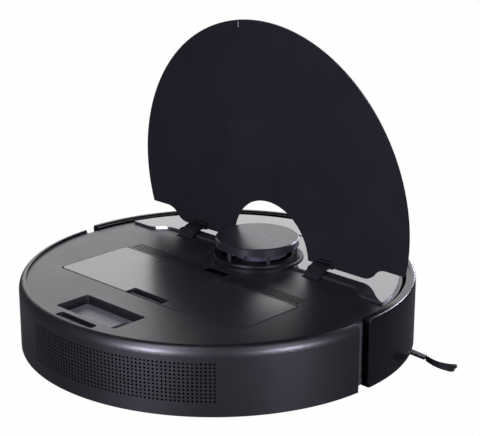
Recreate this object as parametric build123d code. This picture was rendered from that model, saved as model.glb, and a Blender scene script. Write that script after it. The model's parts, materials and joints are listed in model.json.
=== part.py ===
from build123d import *
import os
from math import asin, cos, degrees, hypot, radians, sin

# Robot vacuum cleaner with a hinged top lid, a lift-out dust box and a scanning turret.
# All sizes are millimetres. The origin is on the floor under the axis of the round body,
# +Z is up and +Y is the way the robot drives, towards its bumper.

# General clearances
run_gap = 0.3            # between faces that move past each other
seat_gap = 0.1           # between a fixed piece and the window it sits in
shaft_gap = 0.05         # radial, round a turning shaft or pin
overcut = 1.0            # how far a cutting solid runs past the wall it cuts

# Round body
body_radius = 177.5
shell_wall = 2.6
skirt_bottom = 16.0
skirt_end_y = -9.5
rim_top = 77.0
rim_width = 6.5
rim_flange = 4.0
rim_land = 0.6                   # flat top of the rim before its shoulder
shoulder_drop = 9.0
flange_height = 2.4

# Base tray
base_radius = body_radius - 9.0
base_flat_radius = base_radius - 10.5
base_bottom = 10.0
base_floor = 3.0
base_rim_top = 22.0
base_rim_wall = 2.5

# Decks
deck_top = 74.8
deck_thickness = 2.4
deck_front_radius = base_radius - 0.9
front_deck_thickness = 2.2
front_deck_radius = deck_front_radius - 3.1
deck_post_radius = 4.0
deck_post_circle = deck_front_radius - 9.6
deck_post_angles = (24.5, -27.0, -57.0)   # right-hand ones, mirrored to the left

# Lid, drawn closed and then swung open
lid_radius = front_deck_radius + 0.3
lid_thickness = 2.2
lid_gap_to_deck = 0.4
lid_open_angle = 86.0
lid_edge_break = 0.8
lid_notch_radius = 47.5
hinge_y = 64.4
hinge_z = 67.5
hinge_places = (70.7, -91.9)     # middle of each lid arm along X
hinge_pin_radius = 2.0
hinge_arm_width = 17.0
hinge_arm_inner = 13.4           # radii of the bent arm round its pin
hinge_arm_outer = 16.9
hinge_arm_start = 140.0          # where it leaves the closed lid, counted from straight ahead
hinge_arm_end = 286.0
hinge_knuckle_radius = 4.4
hinge_pad_length = 6.6
hinge_pad_thickness = 2.8
hinge_side_gap = 1.0
hinge_ear_width = 2.4
hinge_ear_radius = 5.0

# Line where the lid meets the front deck: outer and inner run joined by an S-curve
lid_line_outer_y = 40.0
lid_line_inner_y = 53.0
lid_line_gap = 2.6
curve_inner_x = 113.0
curve_outer_x = 139.0

# Turret
turret_y = 53.5
turret_base_radius = 43.0
turret_base_step = 3.4
turret_base_ledge = 2.2
turret_base_top = 81.0
turret_socket_depth = 3.5
turret_cap_radius = 38.8
turret_cap_top = 96.5
turret_cap_height = 7.4
turret_cap_edge = 1.0
turret_cap_hollow = 2.5
turret_cap_travel = 1.2
turret_wall = 3.0
turret_pillar_radius = 1.8
turret_pillar_count = 6
rotor_radius = 29.0
rotor_hub_radius = 20.0
rotor_pulley_radius = 26.0
rotor_shaft_radius = 5.0
rotor_shaft_reach = 11.0
tub_floor_z = 60.0
tub_wall = 2.0
tub_room = 4.0
pulley_radius = 5.0
pulley_spacing = 46.0
pulley_height = 5.0
belt_thickness = 1.0
belt_inset = 1.0
lidar_motor_radius = 11.0
lidar_motor_length = 15.0
motor_shaft_radius = 1.5
motor_shaft_reach = 9.0
sight_spacing = 18.0
sight_radius = 2.6
sight_depth = 4.0

# Dust box and its well
panel_half_width = 111.0
panel_front_y = -11.0
panel_rear_y = 78.5 - base_radius
panel_thickness = 2.6
panel_proud = 0.2
panel_corner = 5.0
panel_gap = 0.8
panel_edge = 0.4
box_half_width = 90.0
box_front_y = -16.0
box_rear_y = panel_rear_y + 2.0
box_bottom = 15.0
box_wall = 2.0
box_corner = 8.0
box_inlet_width = 110.0
box_inlet_height = 16.0
box_inlet_z = 28.0
well_wall = 2.0
well_gap = 1.0
well_ledge = 2.0
well_ledge_reach = 1.6
filter_width = 120.0
filter_height = 36.0
filter_depth = 9.0
filter_rise = 10.0
filter_border = 4.0
filter_backing = 3.0
filter_pleats = 12
notch_width = 45.0
notch_depth = 12.0
notch_drop = 9.0
clip_width = 37.0
clip_thickness = 2.2
clip_rib_inset = 4.0
clip_rib_pitch = 2.2
clip_rib_count = 3

# Ribbed strip ahead of the dust box
strip_front_y = 7.0
strip_proud = 0.1
strip_groove_count = 4
strip_groove_inset = 4.0
strip_groove_width = 1.6
strip_groove_depth = 0.8
strip_notch_width = 27.0
strip_notch_depth = 10.0
strip_notch_floor = 0.6

# Tool pocket and lid scoop in the rear deck
pocket_x = -2.0
pocket_half_width = 38.0
pocket_rear_y = 15.4 - base_radius
pocket_front_y = 50.6 - base_radius
pocket_depth = 12.0
pocket_corner = 2.5
tub_skin = 1.6
tool_margin = 0.6
tool_drop = 8.2                  # from the deck down to the top of the stored tool
tool_end_space = 19.0
tool_end_wall = 3.0
tool_side_wall = 4.0
tool_lever_width = 5.0
scoop_half_width = 23.0
scoop_rear_y = 0.2 - base_radius
scoop_front_y = 10.5 - base_radius
scoop_depth = 3.4
scoop_corner = 2.5

# Exhaust grille, angles counted from straight back towards the right
straight_back = -90.0
grille_start = -15.0
grille_end = 45.5
grille_low = 26.5
grille_high = 64.0
grille_rows = 8
grille_columns = 34
grille_hole = 2.2
grille_margin = 3.0

# Bumper
straight_ahead = 90.0
bumper_end_y = 4.0
bumper_end_round = 1.5
bumper_top = 77.9
bumper_shoulder = 2.6
bumper_step = 3.6                # inner band of its top, a little lower than the outer one
bumper_step_drop = 1.2
bumper_travel = 3.0
bumper_advance = 3.8             # how far the sprung bumper stands ahead of the round of the body
bumper_side_gap = 0.5
window_half_angle = 42.0
window_low = 38.0
window_high = 58.0
front_wall_thickness = 2.4
front_wall_end_y = -16.0

# Drive wheels and their sprung arms
wheel_x = 123.0
wheel_y = -12.0
wheel_radius = 35.0
wheel_width = 20.0
tyre_depth = 9.0
tread_count = 18
tread_depth = 2.0
tread_width = 4.0
axle_radius = 3.0
arm_inner_x = 100.0
arm_width = 10.2
arm_half_height = 12.0
pivot_y = 30.0
pivot_z = 36.0
pivot_radius = 2.5
pivot_ear_width = 2.0
pivot_ear_radius = 5.0
arm_pivot_radius = 7.0
arm_web_margin = 1.0
hub_wall = 3.0
hub_dish = 5.0
hub_boss_radius = 7.0
hub_inset = 1.0
spoke_count = 6
spoke_width = 3.0
wheel_well_margin = 4.0

# Caster
caster_y = base_radius - 30.5
caster_radius = 14.0
caster_width = 14.0
caster_trail = 5.0
caster_cup_radius = 20.5
caster_stem_radius = 4.0
caster_stem_top = 44.0
caster_cup_top = 29.5
caster_cup_proud = 1.0
caster_socket_wall = 3.0
caster_axle_radius = 1.5
caster_wheel_edge = 2.0
caster_wheel_room = 0.6

# Main brush
brush_y = 16.0
brush_z = 22.0
brush_half_length = 78.0
brush_core_radius = 8.0
brush_collar = 1.2
brush_fin_radius = 17.0
brush_fin_thickness = 2.4
brush_fin_count = 5
brush_fin_twist = 36.0
brush_fin_start = 20.0
brush_fin_inset = 2.0
brush_stub_radius = 3.0
brush_stub_length = 7.0
chamber_radius = 22.0
chamber_wall = 2.5
chamber_end_gap = 3.0
guard_thickness = 2.0
guard_margin = 7.0
guard_lip = 4.0
gearbox_width = 9.0
gearbox_reach = 34.0
gearbox_motor_radius = 11.0

# Side brush
side_x = base_radius - 66.5
side_y = base_radius - 70.5
side_arm_angle = 9.5
side_arm_count = 3
side_hub_radius = 12.0
side_hub_bottom = 4.5
side_hub_step = 4.0
side_arm_bend = 38.0             # where an arm starts to droop, from the hub's axis
side_arm_reach = 60.0
side_arm_width = 7.0
side_arm_flare = 2.0
side_arm_thickness = 2.6
side_arm_inner_z = 8.2
side_arm_outer_z = 5.0
side_shaft_radius = 3.0
side_shaft_reach = 8.0
side_gearbox_radius = 15.0
side_gearbox_height = 22.0
side_motor_radius = 9.0
side_motor_rise = 10.0
strand_rows = 8
strand_columns = 13
strand_width = 0.3
strand_reach = 86.5
strand_slant = 6.0               # how far the cut of the tips leans from one edge to the other
strand_step = 0.8                # stagger of neighbouring tips
tuft_width = 5.4
tuft_height = 4.2
tuft_tip_width = 12.5
tuft_tip_low = 0.8
tuft_tip_high = 3.4
tuft_backing = 3.0
tuft_margin = 0.4

# Fan
fan_x = 33.0
fan_y = 43.5 - base_radius
fan_radius = 32.0
fan_bottom = 16.0
fan_top = 57.0
fan_wall = 2.0
impeller_radius = 26.0
impeller_blades = 9
impeller_low = 30.0
impeller_high = 46.0
fan_shaft_radius = 2.5
fan_shaft_reach = 10.0
fan_inlet_radius = 14.0
fan_foot_radius = 8.0
fan_outlet_width = 30.0
fan_outlet_reach = 40.0
impeller_plate = 2.0
impeller_hub_radius = 7.0
impeller_blade_width = 1.6
impeller_blade_offset = 3.0

# Electrics
battery_half_width = 55.0
battery_depth = 44.0
battery_front_y = caster_y - 26.0
battery_rear_y = battery_front_y - battery_depth
battery_height = 30.0
battery_corner = 4.0
battery_groove = 2.0
hatch_inset = 4.0
hatch_corner = 3.0
hatch_grip_half_width = 9.0
hatch_grip_depth = 1.2
board_half_width = 50.0
board_rear_y = base_radius - 52.5
board_front_y = base_radius - 18.5
board_corner = 2.0
chip_size = 16.0
socket_length = 26.0
socket_width = 6.0
board_z = 50.0
board_thickness = 1.6
boss_radius = 3.0
boss_inset = 5.0
contact_x = 48.0
contact_y = base_radius - 40.5
contact_length = 22.0
contact_width = 9.0
cliff_circle = base_flat_radius - 10.0
cliff_angles = (22.0, 58.0, 122.0, 158.0)
cliff_length = 18.0
cliff_width = 8.0
screw_radius = 1.5
screw_head_radius = 3.0
screw_head_height = 1.4
screw_length = 14.0
button_x = 15.0
button_y = front_deck_radius - 34.5
button_length = 24.0
button_width = 11.0
button_travel = 1.2
button_proud = 0.6
button_stem_radius = 2.5
button_stem_reach = 6.0
lens_x = 88.0
lens_y = 16.0
lens_radius = 1.6
pinhole_x = 104.0
pinhole_radius = 0.9

# Values that follow from the sizes above
shell_inner = body_radius - shell_wall
deck_bottom = deck_top - deck_thickness
front_deck_top = deck_top + front_deck_thickness
base_top = base_bottom + base_floor
lid_bottom = deck_top + lid_gap_to_deck
lid_top = lid_bottom + lid_thickness
panel_bottom = deck_top + panel_proud - panel_thickness
well_ledge_top = panel_bottom
wheel_z = wheel_radius
pulley_y = turret_y + pulley_spacing
pulley_foot = tub_floor_z + tub_wall + 1.0
tuft_start = side_arm_reach - tuft_backing
notch_floor = panel_bottom - notch_drop

UP = (Align.CENTER, Align.CENTER, Align.MIN)


# Plain building blocks

def disc(radius, low, high, x=0.0, y=0.0):
    """Upright cylinder between two heights."""
    return Pos(x, y, low) * Cylinder(radius, high - low, align=UP)


def ring(outer, inner, low, high, x=0.0, y=0.0):
    """Upright tube between two heights."""
    return disc(outer, low, high, x, y) - disc(inner, low, high, x, y)


def block(x_span, y_span, z_span):
    """Box between pairs of coordinates."""
    size = [high - low for low, high in (x_span, y_span, z_span)]
    middle = [(low + high) / 2 for low, high in (x_span, y_span, z_span)]
    return Pos(*middle) * Box(*size)


def rounded_block(x_span, y_span, z_span, corner):
    """Box with rounded upright corners."""
    width = x_span[1] - x_span[0]
    depth = y_span[1] - y_span[0]
    outline = RectangleRounded(width, depth, corner)
    place = Pos(sum(x_span) / 2, sum(y_span) / 2, z_span[0])
    return place * extrude(outline, z_span[1] - z_span[0])


def rod_x(radius, x_span, y, z):
    """Cylinder lying along X."""
    turned = Rot(0, 90, 0) * Cylinder(radius, x_span[1] - x_span[0])
    return Pos(sum(x_span) / 2, y, z) * turned


def turned(points):
    """Solid of revolution about Z from (radius, height) points."""
    return revolve(Plane.XZ * Polygon(*points, align=None), Axis.Z)


def sector(inner, outer, low, high, start, end):
    """Part of an upright tube between two polar angles."""
    section = Plane.XZ * Pos((inner + outer) / 2, (low + high) / 2) * Rectangle(outer - inner, high - low)
    return Rot(0, 0, start) * revolve(section, Axis.Z, revolution_arc=end - start)


def behind(y):
    """Everything behind a cross plane."""
    return block((-2 * body_radius, 2 * body_radius), (y - 2 * body_radius, y), (0, 2 * body_radius))


def ahead(y):
    """Everything ahead of a cross plane."""
    return block((-2 * body_radius, 2 * body_radius), (y, y + 2 * body_radius), (0, 2 * body_radius))


def mirrored(part):
    """The left-hand copy of a right-hand piece."""
    return mirror(part, about=Plane.YZ)


def both(part):
    """A right-hand feature together with its left-hand copy."""
    return part + mirrored(part)


def side_span(side, inner, outer):
    """Span of X on the right (side 1) or the left (side -1)."""
    return tuple(sorted((side * inner, side * outer)))


def ahead_of_lid_line(offset, low, high):
    """Solid ahead of the lid's front line, moved forward by an offset."""
    outer = lid_line_outer_y + offset
    inner = lid_line_inner_y + offset
    middle_x = (curve_inner_x + curve_outer_x) / 2
    middle_y = (outer + inner) / 2
    far = 2 * body_radius
    edges = Line((curve_inner_x, inner), (-curve_inner_x, inner))
    for side in (1, -1):
        edges += TangentArc((side * curve_outer_x, outer), (side * middle_x, middle_y), tangent=(-side, 0))
        edges += TangentArc((side * curve_inner_x, inner), (side * middle_x, middle_y), tangent=(side, 0))
    edges += Polyline((curve_outer_x, outer), (far, outer), (far, far), (-far, far), (-far, outer),
                      (-curve_outer_x, outer))
    return Pos(0, 0, low) * extrude(make_face(edges), high - low)


def belt_plan(big, small):
    """Plan of a belt run: a round at the turret and one at the motor, joined by their common tangents."""
    lean = asin((big - small) / pulley_spacing)
    big_x = big * cos(lean)
    big_y = turret_y + big * sin(lean)
    small_x = small * cos(lean)
    small_y = pulley_y + small * sin(lean)
    web = Polygon((big_x, big_y), (small_x, small_y), (-small_x, small_y), (-big_x, big_y), align=None)
    return Pos(0, turret_y) * Circle(big) + Pos(0, pulley_y) * Circle(small) + web


# Shells of the round body

def shell_profile(top, top_inner, land, drop, bottom_inner, top_flange):
    """Section of an outer wall with a flange at its bottom, and one at its top that ends in a soft shoulder."""
    shoulder_start = top_inner + land
    shoulder_width = body_radius - shoulder_start
    shoulder = EllipticalCenterArc((shoulder_start, top - drop), shoulder_width, drop, arc_size=90)
    rest = Polyline(
        (shoulder_start, top),
        (top_inner, top),
        (top_inner, top - top_flange),
        (shell_inner, top - top_flange - shoulder_width),
        (shell_inner, skirt_bottom + flange_height),
        (bottom_inner, skirt_bottom + flange_height),
        (bottom_inner, skirt_bottom),
        (body_radius, skirt_bottom),
        (body_radius, top - drop),
    )
    return Plane.XZ * make_face(shoulder + rest)


def grille_window(clearance):
    """Space of the grille in the rear skirt."""
    slack = degrees(clearance / body_radius)
    start = straight_back + grille_start - slack
    end = straight_back + grille_end + slack
    low = grille_low - clearance
    high = grille_high + clearance
    return sector(shell_inner - overcut, body_radius + overcut, low, high, start, end)


def make_rear_skirt():
    rim_inner = body_radius - rim_width
    profile = shell_profile(rim_top, rim_inner, rim_land, shoulder_drop, base_radius + seat_gap, rim_flange)
    skirt = revolve(profile, Axis.Z) & behind(skirt_end_y)
    return skirt - grille_window(seat_gap)


def make_exhaust_grille():
    start = straight_back + grille_start
    panel = sector(shell_inner, body_radius, grille_low, grille_high, start, straight_back + grille_end)
    edge = degrees(grille_margin / body_radius)
    turn = (grille_end - grille_start - 2 * edge) / (grille_columns - 1)
    rise = (grille_high - grille_low - 2 * grille_margin) / (grille_rows - 1)
    punch = Pos(body_radius, 0, 0) * Box(4 * shell_wall, grille_hole, grille_hole)
    punches = []
    for column in range(grille_columns):
        for row in range(grille_rows):
            height = grille_low + grille_margin + row * rise
            angle = start + edge + column * turn
            punches.append(Rot(0, 0, angle) * Pos(0, 0, height) * punch)
    return panel - punches


def make_bumper_shell():
    """Front wall with a stepped top, drawn round the body and then moved ahead of it."""
    inner = base_radius + bumper_side_gap
    flange = bumper_top - deck_top - run_gap
    land_start = inner + bumper_step
    land = body_radius - bumper_shoulder - land_start
    profile = shell_profile(bumper_top, land_start, land, bumper_shoulder, inner, flange)
    shell = revolve(profile, Axis.Z)
    shell += ring(land_start, inner, deck_top + run_gap, bumper_top - bumper_step_drop)
    shell = Pos(0, bumper_advance, 0) * shell & ahead(bumper_end_y)
    corners = shell.edges().filter_by(Axis.Z).group_by(Axis.Y)[0]
    outer_corners = corners.sort_by(Axis.X)[0], corners.sort_by(Axis.X)[-1]
    return fillet(outer_corners, bumper_end_round) - bumper_window_space(seat_gap)


def bumper_window_space(clearance):
    slack = degrees(clearance / body_radius)
    start = straight_ahead - window_half_angle - slack
    end = straight_ahead + window_half_angle + slack
    low = window_low - clearance
    high = window_high + clearance
    space = sector(shell_inner - overcut, body_radius + overcut, low, high, start, end)
    return Pos(0, bumper_advance, 0) * space


def make_bumper_window():
    start = straight_ahead - window_half_angle
    end = straight_ahead + window_half_angle
    window = sector(shell_inner, body_radius, window_low, window_high, start, end)
    return Pos(0, bumper_advance, 0) * window


def make_front_wall():
    outer = deck_front_radius
    wall = ring(outer, outer - front_wall_thickness, base_rim_top, deck_bottom)
    return wall & ahead(front_wall_end_y)


# Base tray

def wheel_well(side):
    """Opening of one drive wheel, with a shorter one for its arm beside it."""
    inner = arm_inner_x - run_gap - pivot_ear_width - overcut
    tyre_inner = arm_inner_x + arm_width + run_gap + pivot_ear_width + seat_gap
    outer = wheel_x + wheel_width / 2 + wheel_well_margin
    rear = wheel_y - wheel_radius - wheel_well_margin
    arm_front = pivot_y - pivot_ear_radius
    tyre_front = wheel_y + wheel_radius + 2 * wheel_well_margin
    z_span = (0, base_top + overcut)
    arm_space = block(side_span(side, inner, outer), (rear, arm_front), z_span)
    tyre_space = block(side_span(side, tyre_inner, outer), (rear, tyre_front), z_span)
    return [arm_space, tyre_space]


def pivot_ears(side):
    """Two ears on the base that hold the pin of a wheel's arm."""
    gap_inner = arm_inner_x - run_gap
    gap_outer = arm_inner_x + arm_width + run_gap
    reach = pivot_ear_width + overcut
    hole_span = side_span(side, gap_inner - reach, gap_outer + reach)
    hole = rod_x(pivot_radius + shaft_gap, hole_span, pivot_y, pivot_z)
    y_span = (pivot_y - pivot_ear_radius, pivot_y + pivot_ear_radius)
    ears = []
    for inner, outer in ((gap_inner - pivot_ear_width, gap_inner), (gap_outer, gap_outer + pivot_ear_width)):
        span = side_span(side, inner, outer)
        ears.append(block(span, y_span, (base_top, pivot_z)) - hole)
        ears.append(rod_x(pivot_ear_radius, span, pivot_y, pivot_z) - hole)
    return ears


def post_places():
    """Places of the posts that carry the deck."""
    right = [(deck_post_circle * cos(radians(angle)), deck_post_circle * sin(radians(angle)))
             for angle in deck_post_angles]
    return [(side * x, y) for x, y in right for side in (1, -1)]


def board_boss_places():
    x = board_half_width - boss_inset
    rows = (board_rear_y + boss_inset, board_front_y - boss_inset)
    return [(side * x, y) for side in (1, -1) for y in rows]


def contact_space(clearance):
    """The two charging contacts on the underside."""
    half_length = contact_length / 2 + clearance
    half_width = contact_width / 2 + clearance
    y_span = (contact_y - half_width, contact_y + half_width)
    pads = []
    for side in (1, -1):
        x_span = (side * contact_x - half_length, side * contact_x + half_length)
        pads.append(rounded_block(x_span, y_span, (base_bottom, base_top), contact_width / 4))
    return pads


def cliff_space(clearance):
    """Windows of the downward sensors along the front edge."""
    pane = RectangleRounded(cliff_width + 2 * clearance, cliff_length + 2 * clearance, cliff_width / 4)
    solid = Pos(cliff_circle, 0, base_bottom) * extrude(pane, base_floor)
    return [Rot(0, 0, angle) * solid for angle in cliff_angles]


def mouth_half_length():
    return brush_half_length + chamber_end_gap


def make_chassis_base():
    inner = base_radius - base_rim_wall
    tray = turned([
        (0, base_bottom),
        (base_flat_radius, base_bottom),
        (base_radius, skirt_bottom),
        (base_radius, base_rim_top),
        (inner, base_rim_top),
        (inner, skirt_bottom + base_rim_wall),
        (base_flat_radius - base_floor / 3, base_top),
        (0, base_top),
    ])
    for x, y in post_places():
        tray += disc(deck_post_radius, base_top, deck_bottom, x, y)
    for x, y in board_boss_places():
        tray += disc(boss_radius, base_top, board_z, x, y)
    socket = caster_stem_radius + caster_socket_wall
    cup = caster_cup_radius + run_gap
    cup_top = caster_cup_top + run_gap
    tray += disc(cup + caster_socket_wall, base_top, cup_top + caster_socket_wall, 0, caster_y)
    tray += disc(socket, base_top, caster_stem_top, 0, caster_y)
    for side in (1, -1):
        tray += pivot_ears(side)
    cuts = wheel_well(1) + wheel_well(-1)
    half = mouth_half_length()
    cuts.append(block((-half, half), (brush_y - chamber_radius, brush_y + chamber_radius), (0, base_top)))
    cuts.append(disc(cup, 0, cup_top, 0, caster_y))
    cuts.append(disc(caster_stem_radius + shaft_gap, 0, caster_stem_top, 0, caster_y))
    cuts.append(disc(side_shaft_radius + run_gap, 0, base_top, side_x, side_y))
    cuts.append(battery_hatch(seat_gap))
    cuts += contact_space(seat_gap) + cliff_space(seat_gap) + screw_space(shaft_gap)
    return tray - cuts


def screw_space(clearance):
    """Screws that go up through the base into the posts of the deck."""
    solids = []
    for x, y in post_places():
        head = disc(screw_head_radius + clearance, base_bottom, base_bottom + screw_head_height, x, y)
        solids.append(head + disc(screw_radius + clearance, base_bottom, base_bottom + screw_length, x, y))
    return solids


def battery_hatch(clearance):
    """Door under the battery."""
    half = battery_half_width - hatch_inset + clearance
    y_span = (battery_rear_y + hatch_inset - clearance, battery_front_y - hatch_inset + clearance)
    return rounded_block((-half, half), y_span, (base_bottom, base_top), hatch_corner)


def make_battery():
    y_span = (battery_rear_y, battery_front_y)
    z_span = (base_top, base_top + battery_height)
    x_span = (-battery_half_width, battery_half_width)
    middle = sum(y_span) / 2
    pack = rounded_block(x_span, y_span, z_span, battery_corner)
    half = battery_groove / 2
    return pack - block(x_span, (middle - half, middle + half), (z_span[1] - half, z_span[1]))


def make_battery_door():
    front = battery_front_y - 2 * hatch_inset
    y_span = (front - 2 * hatch_corner, front)
    x_span = (-hatch_grip_half_width, hatch_grip_half_width)
    grip = rounded_block(x_span, y_span, (base_bottom, base_bottom + hatch_grip_depth), hatch_corner / 2)
    return battery_hatch(0) - grip


def make_main_board():
    """Circuit board with its processor and a row of plug sockets."""
    top = board_z + board_thickness
    x_span = (-board_half_width, board_half_width)
    board = rounded_block(x_span, (board_rear_y, board_front_y), (board_z, top), board_corner)
    middle = (board_rear_y + board_front_y) / 2
    board += Pos(-chip_size, middle, top) * Box(chip_size, chip_size, board_thickness, align=UP)
    board += Pos(chip_size, middle, top) * Box(socket_length, socket_width, socket_width, align=UP)
    return board


# Decks

def panel_outline(clearance, low, high):
    """Outline of the dust box's cover panel."""
    half = panel_half_width + clearance
    y_span = (panel_rear_y - clearance, panel_front_y + clearance)
    return rounded_block((-half, half), y_span, (low, high), panel_corner)


def strip_outline(clearance, low, high):
    """Outline of the ribbed strip between the dust box and the turret."""
    half = panel_half_width + clearance
    y_span = (panel_front_y + panel_gap - clearance, strip_front_y + clearance)
    return block((-half, half), y_span, (low, high))


def pocket_outline(clearance, low, high):
    half = pocket_half_width + clearance
    y_span = (pocket_rear_y - clearance, pocket_front_y + clearance)
    return rounded_block((pocket_x - half, pocket_x + half), y_span, (low, high), pocket_corner + clearance)


def scoop_wedge(skin):
    """Finger scoop under the lid's edge: deepest at its front, its floor rises to the deck at the rear."""
    half = scoop_half_width + skin
    rise = Polygon(
        (scoop_rear_y - skin, deck_top),
        (scoop_rear_y - skin, deck_top - skin),
        (scoop_front_y + skin, deck_top - scoop_depth - skin),
        (scoop_front_y + skin, deck_top),
        align=None,
    )
    wedge = Pos(pocket_x - half, 0, 0) * extrude(Plane.YZ * rise, 2 * half, dir=(1, 0, 0))
    y_span = (scoop_rear_y - 2 * half, scoop_front_y + skin)
    plan = rounded_block((pocket_x - half, pocket_x + half), y_span, (0, deck_top), scoop_corner + skin)
    return wedge & plan


def hinge_slots():
    """Slots in the deck behind the front plate, where the two lid arms swing through."""
    half = hinge_arm_width / 2 + hinge_side_gap
    rear = lid_line_inner_y - hinge_pad_length - hinge_side_gap
    y_span = (rear, lid_line_inner_y + lid_line_gap + hinge_side_gap)
    return [block((x - half, x + half), y_span, (deck_bottom, deck_top)) for x in hinge_places]


def hinge_ears():
    """Ears under the deck, one each side of a lid arm, with the holes of the hinge pin."""
    inner = hinge_arm_width / 2 + hinge_side_gap
    outer = inner + hinge_ear_width
    y_span = (hinge_y - hinge_ear_radius, hinge_y + hinge_ear_radius)
    ears = []
    for x in hinge_places:
        hole = rod_x(hinge_pin_radius + shaft_gap, (x - 2 * outer, x + 2 * outer), hinge_y, hinge_z)
        for span in ((x - outer, x - inner), (x + inner, x + outer)):
            ears.append(block(span, y_span, (hinge_z, deck_bottom)) - hole)
            ears.append(rod_x(hinge_ear_radius, span, hinge_y, hinge_z) - hole)
    return ears


def button_stem_holes():
    return [disc(button_stem_radius + run_gap, 0, deck_top, side * button_x, button_y) for side in (1, -1)]


def make_top_deck():
    rear = disc(body_radius - rim_width - seat_gap, deck_bottom, deck_top) & behind(skirt_end_y)
    deck = rear + disc(deck_front_radius, deck_bottom, deck_top)
    pocket_low = deck_top - pocket_depth
    deck += pocket_outline(tub_skin, pocket_low - tub_skin, deck_top)
    deck += scoop_wedge(tub_skin) & disc(body_radius - rim_width - seat_gap, 0, deck_top)
    deck += hinge_ears()
    cuts = [
        panel_outline(panel_gap, 0, deck_top),
        strip_outline(seat_gap, 0, deck_top),
        pocket_outline(0, pocket_low, deck_top),
        scoop_wedge(0),
        disc(turret_base_radius - turret_wall, 0, deck_top, 0, turret_y),
        disc(lens_radius + seat_gap, 0, deck_top, lens_x, lens_y),
        disc(pinhole_radius, 0, deck_top, pinhole_x, lens_y),
    ]
    return deck - cuts - hinge_slots() - button_stem_holes()


def button_outline(side, clearance, low, high):
    half = button_length / 2 + clearance
    x = side * button_x
    y_span = (button_y - button_width / 2 - clearance, button_y + button_width / 2 + clearance)
    return rounded_block((x - half, x + half), y_span, (low, high), button_width / 2 - run_gap)


def make_front_deck():
    plate = disc(front_deck_radius, deck_top, front_deck_top)
    plate = plate & ahead_of_lid_line(lid_line_gap, deck_top, front_deck_top)
    cuts = [
        disc(turret_base_radius + run_gap, deck_top, front_deck_top, 0, turret_y),
        button_outline(1, run_gap, deck_top, front_deck_top),
        button_outline(-1, run_gap, deck_top, front_deck_top),
    ]
    return plate - cuts


def make_button(side):
    cap_low = deck_top + button_travel + run_gap
    cap = button_outline(side, 0, cap_low, front_deck_top + button_proud)
    return cap + disc(button_stem_radius, deck_bottom - button_stem_reach, cap_low, side * button_x, button_y)


def make_ribbed_strip():
    """Strip with cross grooves and a finger notch in its middle."""
    low = well_ledge_top
    top = deck_top + strip_proud
    rear = panel_front_y + panel_gap
    pitch = (strip_front_y - rear) / (strip_groove_count + 1)
    half_notch = strip_notch_width / 2
    notch_front = strip_front_y - pitch / 2
    notch = block((-half_notch, half_notch), (notch_front - strip_notch_depth, notch_front),
                  (low + strip_notch_floor, top))
    half_length = panel_half_width - strip_groove_inset
    groove = block((-half_length, half_length), (-strip_groove_width / 2, strip_groove_width / 2),
                   (top - strip_groove_depth, top))
    grooves = [Pos(0, rear + (index + 1) * pitch, 0) * groove for index in range(strip_groove_count)]
    return strip_outline(0, low, top) - grooves - notch


def make_reset_lens():
    return disc(lens_radius, deck_bottom, deck_top, lens_x, lens_y)


# Lid and hinge

def swing_open(part):
    """Turn a piece drawn on the closed lid to its open place."""
    return part.rotate(Axis((0, hinge_y, hinge_z), (1, 0, 0)), -lid_open_angle)


def make_lid_panel():
    lid = disc(lid_radius, lid_bottom, lid_top)
    lid -= ahead_of_lid_line(0, lid_bottom, lid_top)
    lid -= disc(lid_notch_radius, lid_bottom, lid_top, 0, turret_y)
    upper_rim = lid.faces().sort_by(Axis.Z)[-1].edges()
    return swing_open(chamfer(upper_rim, lid_edge_break))


def hinge_arm(x):
    """Bent arm that runs from the closed lid round the edge of the front plate to its pin."""
    low_x = x - hinge_arm_width / 2
    across = Plane(origin=(low_x, hinge_y, hinge_z), x_dir=(0, 1, 0), z_dir=(1, 0, 0))
    thickness = hinge_arm_outer - hinge_arm_inner
    bend = sector(hinge_arm_inner, hinge_arm_outer, 0, hinge_arm_width, hinge_arm_start, hinge_arm_end)
    web = block((0, hinge_arm_outer - thickness / 4), (-thickness, 0), (0, hinge_arm_width))
    web = Rot(0, 0, hinge_arm_end) * web
    arm = across * (bend + web + disc(hinge_knuckle_radius, 0, hinge_arm_width))
    front = lid_line_inner_y
    pad = block((low_x, low_x + hinge_arm_width), (front - hinge_pad_length, front),
                (lid_bottom - hinge_pad_thickness, lid_bottom))
    arm = (arm + pad) & block((low_x, low_x + hinge_arm_width), (0, body_radius), (0, lid_bottom))
    return arm - across * disc(hinge_pin_radius + shaft_gap, 0, hinge_arm_width)


def make_hinge_arms():
    arms = [swing_open(hinge_arm(x)) for x in hinge_places]
    return Compound(children=[Part(arm) for arm in arms])


def make_hinge_pins():
    half = hinge_arm_width / 2 + hinge_side_gap + hinge_ear_width
    pins = [rod_x(hinge_pin_radius, (x - half, x + half), hinge_y, hinge_z) for x in hinge_places]
    return Compound(children=[Part(pin) for pin in pins])


# Turret

def pillar_places(radius):
    return [Vector(radius, 0).rotate(Axis.Z, 360 * (index + 0.5) / turret_pillar_count) + Vector(0, turret_y)
            for index in range(turret_pillar_count)]


def pillar_circle():
    return turret_cap_radius - turret_pillar_radius - 2 * run_gap


def make_turret_base():
    """Stepped ring on the deck with sockets for the cap's pillars."""
    inner = turret_base_radius - turret_wall
    socket_inner = pillar_circle() - turret_pillar_radius - turret_wall / 2
    socket_low = turret_base_top - turret_socket_depth
    step_top = deck_top + turret_base_step
    section = Polygon(
        (inner - seat_gap, deck_top),
        (turret_base_radius, deck_top),
        (turret_base_radius, step_top),
        (turret_base_radius - turret_base_ledge, step_top + turret_base_ledge / 3),
        (turret_base_radius - turret_wall, turret_base_top),
        (socket_inner, turret_base_top),
        (socket_inner, socket_low),
        (inner - seat_gap, socket_low),
        align=None,
    )
    base = Pos(0, turret_y, 0) * revolve(Plane.XZ * section, Axis.Z)
    holes = [disc(turret_pillar_radius + run_gap, deck_top, turret_base_top, p.X, p.Y)
             for p in pillar_places(pillar_circle())]
    return base - holes


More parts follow.
